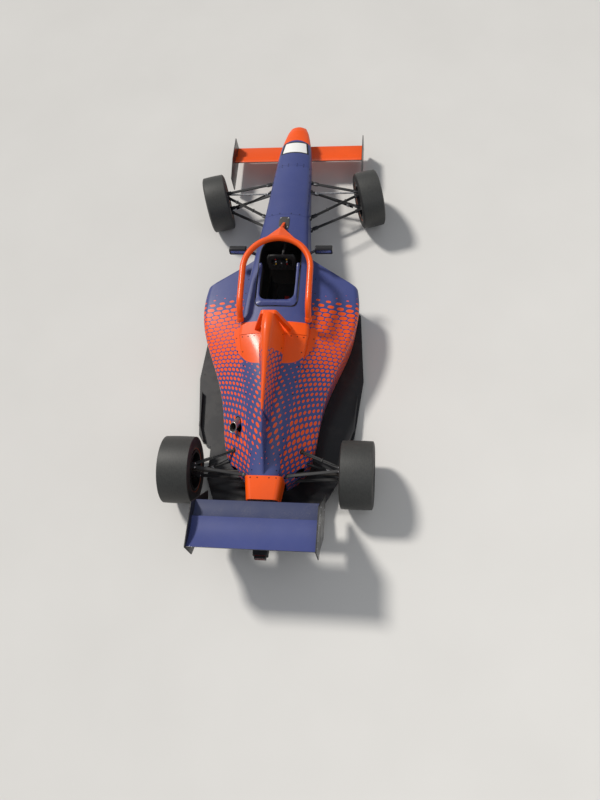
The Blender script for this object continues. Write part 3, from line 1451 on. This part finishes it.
def make_pushrod_fittings():
    """Hexagon adjusters with lock nuts at the rods' ends, and boots where the front rods end."""
    adjuster = new_round("adjuster", (0, 0, 0), UP, 0.0135, 0.030, 6)
    with editing(adjuster):
        pick_faces(lambda centre, normal: abs(normal.z) > FACING)
        bpy.ops.mesh.inset(thickness=0.002)
    soften(adjuster, 0.001, 1)
    lock = new_round("lock", (0, 0, 0.021), UP, 0.0125, 0.007, 6)
    lock.data.transform(Matrix.Rotation(0.4, 4, "Z"))
    adjuster = join("adjuster", [adjuster, soften(lock, 0.001, 1)])
    spots = [along_line(start, end, 0.055) for start, end in PUSHRODS]
    spots += [along_line(end, start, 0.075) for start, end in PUSHRODS]
    adjusters = both_sides(copies_by("pushrod_adjusters", adjuster, spots))
    finish_piece(adjusters, "bright_steel")

    boot = new_round("boot", (0, 0, 0.010), UP, 0.0165, 0.040, 32)
    with editing(boot):
        pick_faces(lambda centre, normal: normal.z > FACING)
        for inset, rise in (
            (0.0030, 0.0),
            (0.0, 0.004),
            (-0.0020, 0.0),
            (0.0, 0.004),
            (0.0030, 0.0),
            (0.0, 0.004),
        ):
            bpy.ops.mesh.inset(thickness=abs(inset), use_outset=inset < 0)
            extrude((0, 0, rise))
    foot, top = PUSHRODS[0]
    boots = both_sides(copies_by("rod_boots", boot, [along_line(top, foot, 0.0)]))
    finish_piece(boots, "black_rubber")


def make_pin_bolts():
    """Bolts through the wishbones' inner lugs and at their outer ends."""
    places = [((x, y + 0.010, z + 0.0138), UP) for _, (x, y, z) in LEGS]
    places.append(((1.3965, 0.720, 0.4103), UP))
    for x in (-1.5675, -1.5315):
        places += [((x, 0.6232, z), INWARD) for z in (0.184, 0.406)]
    pins = both_sides(copies_at("pin_bolts", hex_bolt(0.0085), places))
    finish_piece(pins, "bright_steel")


def make_brake_hoses():
    """Hoses laid along one wishbone leg of each corner and held by clips."""
    hoses = []
    for start, end in (LEGS[1], LEGS[4]):
        start, end = Vector(start), Vector(end)
        length = (end - start).length
        path = [start.lerp(end, share) + Vector((0, 0, 0.0105)) for share in (0.10, 0.3, 0.6, 0.9)]
        path.insert(0, path[0] + Vector((0, 0.030, -0.004)))
        path.append(path[-1] + Vector((0, -0.030, 0.006)))
        hoses.append(tube_along("brake_hose", path, 0.0034))
        clip = new_box("clip", (-0.017, -0.0075, -0.004), (0.017, 0.0150, 0.004))
        soften(clip, 0.0015)
        spots = [along_line(start, end, length * share) for share in (0.32, 0.66)]
        hoses.append(copies_by("clips", clip, spots))
    finish_piece(both_sides(join("brake_hoses", hoses)), "black_rubber")


def laid_pad(name, node, centre, size, thickness):
    """Thin pad with round corners, laid on a node's upper surface."""
    clear_selection()
    bpy.ops.mesh.primitive_grid_add(x_subdivisions=14, y_subdivisions=10, size=2)
    pad = bpy.context.object
    pad.name = name
    settle(pad)
    for vertex in pad.data.vertices:
        across, along = vertex.co.x, vertex.co.y
        reach = (abs(across) ** 5 + abs(along) ** 5) ** 0.2
        fit = max(abs(across), abs(along)) / reach if reach else 1.0
        start = (centre[0] + across * fit * size[0] / 2, centre[1] + along * fit * size[1] / 2, 2)
        place, normal = surface_at(node, start, DOWN)
        vertex.co = place + normal * 0.0004
    modify(pad, "SOLIDIFY", thickness=thickness, offset=1)
    return soften(pad, thickness * 0.4)


def make_guard_fittings():
    """Pad and bolts at the foot of the guard's strut, and sleeves round its rear legs."""
    pad = laid_pad("guard_pad", "monocoque", (0.828, 0), (0.160, 0.100), 0.004)
    finish_piece(pad, "scuffed_pad")
    above = [(x, 0.036, 2) for x in (0.768, 0.890)]
    places = places_on("monocoque", above, DOWN, 0.0044)
    finish_piece(copies_at("guard_bolts", hex_bolt(0.0065), places), "bright_steel")
    foot, way = Vector((-0.2635, 0.307, 0.672)), Vector((0.085, 0, 0.123)).normalized()
    sleeve = new_round("guard_sleeves", foot + way * 0.020, way, 0.0315, 0.036, 40)
    step_faces(sleeve, way, (0.002, 0.003))
    soften(sleeve, 0.0012)
    finish_piece(both_sides(sleeve), "orange_lacquer")


def make_mirror_glasses():
    """Glass in each mirror housing, in a soft surround."""
    glass = new_box("mirror_glasses", (0.4600, 0.3305, 0.6765), (0.4640, 0.4755, 0.7275))
    round_edges_along(glass, 0, 0.012, 5)
    surround = copy_of(glass, "mirror_surrounds")
    step_faces(surround, REARWARD, (0.004, -0.0025))
    soften(surround, 0.0006)
    finish_piece(both_sides(surround), "black_rubber")
    with editing(glass):
        bpy.ops.mesh.select_all(action="SELECT")
        middle = (0.4630, 0.403, 0.702)
        bpy.ops.transform.resize(value=(0.6, 0.95, 0.85), center_override=middle)
    soften(glass, 0.0004)
    finish_piece(both_sides(glass), "mirror_silver")


def hand_wheel_matrix():
    """From the steering wheel drawn flat, its face up and its top along Y, to the car."""
    axis = Vector(JOINTS["steering_wheel_turn"]["axis"])
    across = Vector((0, -1, 0))
    place = Matrix.Translation(JOINTS["steering_wheel_turn"]["pos_m"])
    return place @ Matrix((across, axis.cross(across), axis)).transposed().to_4x4()


def knurled_dial():
    """Dial with dents round its edge and a pointer, drawn over the flat steering wheel."""
    dial = new_round("dial", (0, 0, 0.0315), UP, 0.0105, 0.010, 16)
    with editing(dial):
        pick_faces(
            lambda centre, normal: abs(normal.z) < 0.1
            and sin(8 * Vector(centre.xy).angle_signed((1, 0.001), 0)) > 0
        )
        bpy.ops.mesh.inset(thickness=0.0006, use_individual=True)
        bpy.ops.mesh.inset(thickness=0.0002, depth=-0.0006, use_individual=True)
    pointer = new_box("pointer", (-0.0012, 0.001, 0.036), (0.0012, 0.0095, 0.0378))
    return join("dial", [dial, soften(pointer, 0.0004, 1)])


def make_hand_wheel():
    """Grips, face plate, display, buttons, dials, paddles and release ring of the steering wheel."""
    place = hand_wheel_matrix()

    def hold(piece, name, material):
        """Moves a piece drawn flat to the wheel, and finishes it."""
        piece.data.transform(place)
        piece.name = name
        finish_piece(piece, material, "hand_wheel")

    outline = (
        (0.100, 0.078),
        (0.116, 0.066),
        (0.121, 0.026),
        (0.118, -0.020),
        (0.121, -0.052),
        (0.106, -0.076),
    )
    grips = []
    for side in (-1, 1):
        path = [(side * x, y, 0.012) for x, y in outline]
        grips.append(tube_along("grip", path, bpy.context.scene.race_sizes.grip_radius))
    hold(join("grips", grips), "wheel_grips", "grip_rubber")

    plate = new_box("plate", (-0.060, -0.066, 0.0235), (0.060, 0.070, 0.0275))
    round_edges_along(plate, 2, 0.016, 6)
    step_faces(plate, UP, (0.003, -0.0008))
    hold(soften(plate, 0.0005), "wheel_face", "carbon_satin")

    display = new_box("display", (-0.042, 0.018, 0.0265), (0.042, 0.062, 0.0315))
    step_faces(display, UP, (0.004, -0.002))
    hold(soften(display, 0.0006), "wheel_display", "display_glass")

    for name, material, spots in (
        ("wheel_buttons_red", "red_knob", ((-0.052, 0.046), (0.052, -0.006))),
        ("wheel_buttons_yellow", "yellow_knob", ((0.052, 0.046), (-0.052, -0.006))),
        ("wheel_buttons_pale", "pale_knob", ((-0.052, 0.020), (0.052, 0.020), (0.0, 0.002))),
    ):
        button = new_round("button", (0, 0, 0.030), UP, 0.0062, 0.007, 20)
        step_faces(button, UP, (0.0016, -0.0010))
        soften(button, 0.0006)
        buttons = copies_by(name, button, [Matrix.Translation((x, y, 0)) for x, y in spots])
        hold(buttons, name, material)

    spots = []
    for x in (-0.034, 0, 0.034):
        spots.append(Matrix.Translation((x, -0.038, 0)) @ Matrix.Rotation(x * 20, 4, "Z"))
    dials = copies_by("dials", knurled_dial(), spots)
    hold(dials, "wheel_dials", "grip_rubber")

    paddle = new_box("paddle", (0.040, -0.018, -0.014), (0.108, 0.034, -0.010))
    round_edges_along(paddle, 2, 0.014, 5, lambda one, two: one.x > 0.1)
    soften(paddle, 0.001)
    hold(both_sides(paddle, across=(1, 0, 0)), "wheel_paddles", "carbon_gloss")

    ring = new_ring("release", (0, 0, -0.014), UP, 0.029, 0.006, (36, 10))
    with editing(ring):
        pick_faces(lambda centre, normal: Vector(centre.xy).length > 0.032)
        bpy.ops.mesh.inset(thickness=0.0006, depth=-0.0008, use_individual=True)
    hold(ring, "wheel_release", "blue_alloy")


def make_rain_light():
    """Frame of the rain light and its rows of lamps."""
    low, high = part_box("rain_light")
    over = Vector((0.003, 0.003, 0.003))
    rim = new_box("rain_light_frame", low - over, high + over - Vector((0.007, 0, 0)))
    round_edges_along(rim, 0, 0.011, 5)
    step_faces(rim, REARWARD, (0.006, -0.006))
    finish_piece(soften(rim, 0.0008), "black_rubber")
    lamp = new_round("lamp", (0, 0, 0), UP, 0.0062, 0.003, 16)
    step_faces(lamp, UP, (0.0010, 0.0020), (0.0018, 0.0014))
    soften(lamp, 0.0006)
    centre, pitch = (low + high) / 2, 0.0155
    spots = []
    for column in range(-2, 3):
        for row in (-1, 0, 1):
            place = (low.x + 0.0035, centre.y + pitch * column, centre.z + pitch * row)
            spots.append((place, REARWARD))
    finish_piece(copies_at("rain_light_lamps", lamp, spots), "red_lens")


def make_exhaust_lip():
    """Rolled lip round the slanted mouth of the tail pipe."""
    start, end = Vector((-0.9495, 0.186, 0.325)), Vector((-1.2485, 0.314, 0.516))
    way = (end - start).normalized()
    cut = Vector((-0.3, 0.35, 0.9)).normalized()
    wall_radius, set_back, count = 0.0347, 0.022, 24
    origin = end - cut * set_back
    first = way.orthogonal().normalized()
    second = way.cross(first)
    points = []
    for number in range(count):
        turn = 2 * pi * number / count
        spot = start + wall_radius * (cos(turn) * first + sin(turn) * second)
        points.append(spot + way * ((origin - spot).dot(cut) / way.dot(cut)))
    lip = tube_along("exhaust_lip", points, 0.0030, closed=True)
    finish_piece(lip, "hot_steel", smooth=60)


def make_cockpit_edging():
    """Rubber edging round the cockpit's opening."""
    half, front = 0.1955, 0.4795
    plan = [(x, half) for x in (-0.0635, 0.06, 0.20, 0.34, front)]
    plan += [(front + half * sin(turn), half * cos(turn)) for turn in (0.35, 0.70, 1.05, 1.40)]
    plan += [(x, -y) for x, y in reversed(plan)]
    plan += [(-0.105, -0.180), (-0.127, -0.150), (-0.127, 0.0), (-0.127, 0.150), (-0.105, 0.180)]
    points = []
    for x, y in plan:
        place, normal = surface_at("monocoque", (x, y, 2), DOWN)
        points.append(place + normal * 0.001)
    radius = bpy.context.scene.race_sizes.cockpit_edging_radius
    edging = tube_along("cockpit_edging", points, radius, closed=True)
    finish_piece(edging, "black_rubber", smooth=60)


def make_inlet_lips():
    """Rounded lips round the two side inlets."""
    sweep, first_turn, turn_step, count = radians(33), -42, 10.2, 17
    outside, sunk = 0.6, 0.006
    across = Vector((-sin(sweep), cos(sweep), 0))
    back = Vector((-cos(sweep), -sin(sweep), 0)) * 0.004
    centre = Vector((0.4565, 0.370, 0.28)) + across * 0.12 + back
    points = []
    for number in range(count):
        turn = radians(first_turn + turn_step * number)
        way = across * cos(turn) + Vector((0, 0, sin(turn)))
        outer, _ = surface_at("sidepod_left", centre + way * outside, -way)
        points.append(outer - way * sunk)
    lips = both_sides(tube_along("inlet_lips", points, 0.0072))
    finish_piece(lips, "blue_lacquer", smooth=60)


# Stage


def make_floor():
    """Pale studio floor, wide enough to fill the view."""
    clear_selection()
    bpy.ops.mesh.primitive_plane_add(size=240, location=(0, 0, 0))
    ground = bpy.context.object
    ground.name = "studio_floor"
    nodes, shader, position = new_material("studio_floor", Roughness=0.9, Specular_IOR_Level=0.1)
    tone = nodes.noise(position, 0.8, 3)
    colour = nodes.mix(tone, (0.60, 0.59, 0.57, 1), (0.66, 0.65, 0.63, 1))
    nodes.feed(shader.inputs["Base Color"], colour)
    ground.data.materials.append(bpy.data.materials["studio_floor"])


def make_lights():
    """Soft sun from the front left, a fill light from the rear right and a pale sky."""
    sun = bpy.data.lights.new("key_light", "SUN")
    sun.energy = 3.0
    sun.angle = radians(9)
    sun.color = (1.0, 0.965, 0.91)
    lamp = bpy.data.objects.new("key_light", sun)
    lamp.rotation_euler = Vector((0.55, 0.75, 1.1)).to_track_quat("Z", "Y").to_euler()
    bpy.context.collection.objects.link(lamp)
    fill = bpy.data.lights.new("fill_light", "AREA")
    fill.shape = "RECTANGLE"
    fill.size, fill.size_y = 7, 5
    fill.energy = 90
    panel = bpy.data.objects.new("fill_light", fill)
    place = Vector((-3.5, -3.0, 6.0))
    panel.location = place
    panel.rotation_euler = (place - Vector((0, 0, 0.4))).to_track_quat("Z", "Y").to_euler()
    bpy.context.collection.objects.link(panel)

    world = bpy.data.worlds.new("studio")
    bpy.context.scene.world = world
    world.use_nodes = True
    backdrop = world.node_tree.nodes["Background"]
    backdrop.inputs["Color"].default_value = (0.80, 0.84, 0.90, 1)
    backdrop.inputs["Strength"].default_value = 0.38


def make_camera():
    """Camera high up, behind the car and a little to its right."""
    sizes = bpy.context.scene.race_sizes
    view = bpy.data.cameras.new("photo_view")
    view.sensor_fit = "VERTICAL"
    view.sensor_height = 36
    view.lens = sizes.lens
    camera = bpy.data.objects.new("photo_view", view)
    yaw, down, roll = sizes.camera_yaw, sizes.camera_pitch, sizes.camera_roll
    forward = Vector((cos(yaw) * cos(down), sin(yaw) * cos(down), -sin(down)))
    right = Vector((sin(yaw), -cos(yaw), 0))
    up = right.cross(forward)
    across = cos(roll) * right + sin(roll) * up
    upward = cos(roll) * up - sin(roll) * right
    turn = Matrix((across, upward, -forward)).transposed().to_4x4()
    camera.matrix_world = Matrix.Translation(sizes.camera_place) @ turn
    bpy.context.collection.objects.link(camera)
    bpy.context.scene.camera = camera
    bpy.context.scene.view_settings.view_transform = "Standard"


# Settings, operators and panel


class RacePaint(bpy.types.PropertyGroup):
    """Colours of the car."""

    body_blue: bpy.props.FloatVectorProperty(
        name="Body blue",
        description="Colour of the body",
        subtype="COLOR",
        default=(0.046, 0.060, 0.190),
    )
    accent_orange: bpy.props.FloatVectorProperty(
        name="Accent orange",
        description="Colour of the tip, wing, guard and dots",
        subtype="COLOR",
        default=(0.76, 0.080, 0.0012),
    )
    dot_size: bpy.props.FloatProperty(
        name="Dot size",
        description="Size of the body's dots against their usual size",
        default=1.0,
        min=0.0,
        max=1.5,
    )
    belt_red: bpy.props.FloatVectorProperty(
        name="Belt red",
        description="Colour of the harness webbing",
        subtype="COLOR",
        default=(0.26, 0.010, 0.012),
    )
    cap_gold: bpy.props.FloatVectorProperty(
        name="Cap gold",
        description="Colour of the nut caps and caliper plates",
        subtype="COLOR",
        default=(0.55, 0.36, 0.10),
    )
    dust: bpy.props.FloatProperty(
        name="Dust",
        description="How much road dust lies on the paint",
        default=0.14,
        min=0.0,
        max=1.0,
    )


class RaceSizes(bpy.types.PropertyGroup):
    """Sizes of padding, webbing and fittings, and the camera's place."""

    pad_swell: bpy.props.FloatProperty(
        name="Pad swell",
        description="How far the headrest's padding may swell",
        unit="LENGTH",
        default=0.006,
        min=0.0,
    )
    shoulder_strap_width: bpy.props.FloatProperty(
        name="Shoulder strap width",
        description="Width of the shoulder straps",
        unit="LENGTH",
        default=0.050,
        min=0.01,
    )
    lap_strap_width: bpy.props.FloatProperty(
        name="Lap strap width",
        description="Width of the lap and crotch straps",
        unit="LENGTH",
        default=0.044,
        min=0.01,
    )
    stud_radius: bpy.props.FloatProperty(
        name="Stud radius",
        description="Radius of the quarter turn studs",
        unit="LENGTH",
        default=0.0054,
        min=0.004,
    )
    grip_radius: bpy.props.FloatProperty(
        name="Grip radius",
        description="Radius of the steering wheel's grips",
        unit="LENGTH",
        default=0.0165,
        min=0.01,
    )
    cockpit_edging_radius: bpy.props.FloatProperty(
        name="Cockpit edging",
        description="Radius of the edging round the cockpit",
        unit="LENGTH",
        default=0.0045,
        min=0.001,
    )
    lens: bpy.props.FloatProperty(
        name="Lens",
        description="Focal length on a 36 mm high sensor",
        subtype="DISTANCE_CAMERA",
        default=33.68,
    )
    camera_place: bpy.props.FloatVectorProperty(
        name="Camera place",
        description="Where the camera hangs",
        subtype="TRANSLATION",
        unit="LENGTH",
        default=(-3.6425, -1.082, 6.378),
    )
    camera_yaw: bpy.props.FloatProperty(
        name="Camera yaw",
        description="Turn to the car's left from looking forward",
        subtype="ANGLE",
        default=radians(16.98),
    )
    camera_pitch: bpy.props.FloatProperty(
        name="Camera pitch",
        description="How far the camera looks down",
        subtype="ANGLE",
        default=radians(64.43),
    )
    camera_roll: bpy.props.FloatProperty(
        name="Camera roll",
        description="Turn of the picture",
        subtype="ANGLE",
        default=radians(-14.29),
    )


class RACE_OT_finishes(bpy.types.Operator):
    """Build the paints and other finishes and give them to the frame's nodes"""

    bl_idname = "race.finishes"
    bl_label = "Finishes"

    def execute(self, context):
        build_finishes()
        dress_nodes()
        return {"FINISHED"}


class RACE_OT_cockpit_padding(bpy.types.Operator):
    """Build the headrest, the seat and its cushions"""

    bl_idname = "race.cockpit_padding"
    bl_label = "Headrest and seat"

    def execute(self, context):
        make_headrest()
        shell = make_seat_shell()
        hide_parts("seat")
        make_seat_pad()
        return {"FINISHED"}


class RACE_OT_harness(bpy.types.Operator):
    """Build the harness straps and buckle"""

    bl_idname = "race.harness"
    bl_label = "Harness"

    def execute(self, context):
        make_harness()
        return {"FINISHED"}


class RACE_OT_fasteners(bpy.types.Operator):
    """Build the studs of the removable panels"""

    bl_idname = "race.fasteners"
    bl_label = "Panel fasteners"

    def execute(self, context):
        make_fasteners()
        return {"FINISHED"}


class RACE_OT_wing_fittings(bpy.types.Operator):
    """Build the wings' bolts, trailing strips and plate edging"""

    bl_idname = "race.wing_fittings"
    bl_label = "Wing fittings"

    def execute(self, context):
        make_wing_fittings()
        return {"FINISHED"}


class RACE_OT_wheel_fittings(bpy.types.Operator):
    """Build the nut caps, bolts, valves and rim edges, and dress the brakes"""

    bl_idname = "race.wheel_fittings"
    bl_label = "Wheel fittings"

    def execute(self, context):
        make_wheel_fittings()
        make_caliper_fittings()
        return {"FINISHED"}


class RACE_OT_suspension_fittings(bpy.types.Operator):
    """Build the sleeves, adjusters, pin bolts and brake hoses"""

    bl_idname = "race.suspension_fittings"
    bl_label = "Suspension fittings"

    def execute(self, context):
        make_leg_sleeves()
        make_pushrod_fittings()
        make_pin_bolts()
        make_brake_hoses()
        return {"FINISHED"}


class RACE_OT_guard_fittings(bpy.types.Operator):
    """Build the pad, bolts and sleeves at the feet of the cockpit guard"""

    bl_idname = "race.guard_fittings"
    bl_label = "Guard fittings"

    def execute(self, context):
        make_guard_fittings()
        return {"FINISHED"}


class RACE_OT_mirror_glasses(bpy.types.Operator):
    """Build the glass and surround of both mirrors"""

    bl_idname = "race.mirror_glasses"
    bl_label = "Mirror glasses"

    def execute(self, context):
        make_mirror_glasses()
        return {"FINISHED"}


class RACE_OT_hand_wheel(bpy.types.Operator):
    """Build the grips, controls and paddles of the steering wheel"""

    bl_idname = "race.hand_wheel"
    bl_label = "Steering wheel"

    def execute(self, context):
        make_hand_wheel()
        return {"FINISHED"}


class RACE_OT_tail_fittings(bpy.types.Operator):
    """Build the rain light's frame and lamps and the exhaust's lip"""

    bl_idname = "race.tail_fittings"
    bl_label = "Tail fittings"

    def execute(self, context):
        make_rain_light()
        make_exhaust_lip()
        return {"FINISHED"}


class RACE_OT_body_edges(bpy.types.Operator):
    """Build the cockpit edging and the inlet lips"""

    bl_idname = "race.body_edges"
    bl_label = "Body edges"

    def execute(self, context):
        make_cockpit_edging()
        make_inlet_lips()
        return {"FINISHED"}


class RACE_OT_stage(bpy.types.Operator):
    """Build the floor, the lights and the camera"""

    bl_idname = "race.stage"
    bl_label = "Stage"

    def execute(self, context):
        make_floor()
        make_lights()
        make_camera()
        return {"FINISHED"}


class RACE_PT_panel(bpy.types.Panel):
    """Lists the steps and the settings of the car"""

    bl_idname = "RACE_PT_panel"
    bl_label = "Race car"
    bl_space_type = "VIEW_3D"
    bl_region_type = "UI"
    bl_category = "Race car"

    def draw(self, context):
        column = self.layout.column()
        for settings in (context.scene.race_paint, context.scene.race_sizes):
            for name in settings.__annotations__:
                column.prop(settings, name)
        for step in STEPS:
            column.operator(step.bl_idname)


STEPS = (
    RACE_OT_finishes,
    RACE_OT_stage,
    RACE_OT_cockpit_padding,
    RACE_OT_harness,
    RACE_OT_fasteners,
    RACE_OT_wing_fittings,
    RACE_OT_wheel_fittings,
    RACE_OT_suspension_fittings,
    RACE_OT_guard_fittings,
    RACE_OT_mirror_glasses,
    RACE_OT_hand_wheel,
    RACE_OT_tail_fittings,
    RACE_OT_body_edges,
)
CLASSES = (RacePaint, RaceSizes, *STEPS, RACE_PT_panel)


def register():
    """Makes the settings, steps and panel known to Blender."""
    for item in CLASSES:
        bpy.utils.register_class(item)
    bpy.types.Scene.race_paint = bpy.props.PointerProperty(type=RacePaint)
    bpy.types.Scene.race_sizes = bpy.props.PointerProperty(type=RaceSizes)


def unregister():
    """Takes them away again."""
    del bpy.types.Scene.race_sizes
    del bpy.types.Scene.race_paint
    for item in reversed(CLASSES):
        bpy.utils.unregister_class(item)


def main():
    """Runs the steps in turn."""
    register()
    bpy.ops.race.finishes()
    bpy.ops.race.stage()
    bpy.ops.race.cockpit_padding()
    bpy.ops.race.harness()
    bpy.ops.race.fasteners()
    bpy.ops.race.wing_fittings()
    bpy.ops.race.wheel_fittings()
    bpy.ops.race.suspension_fittings()
    bpy.ops.race.guard_fittings()
    bpy.ops.race.mirror_glasses()
    bpy.ops.race.hand_wheel()
    bpy.ops.race.tail_fittings()
    bpy.ops.race.body_edges()


if __name__ == "__main__":
    main()
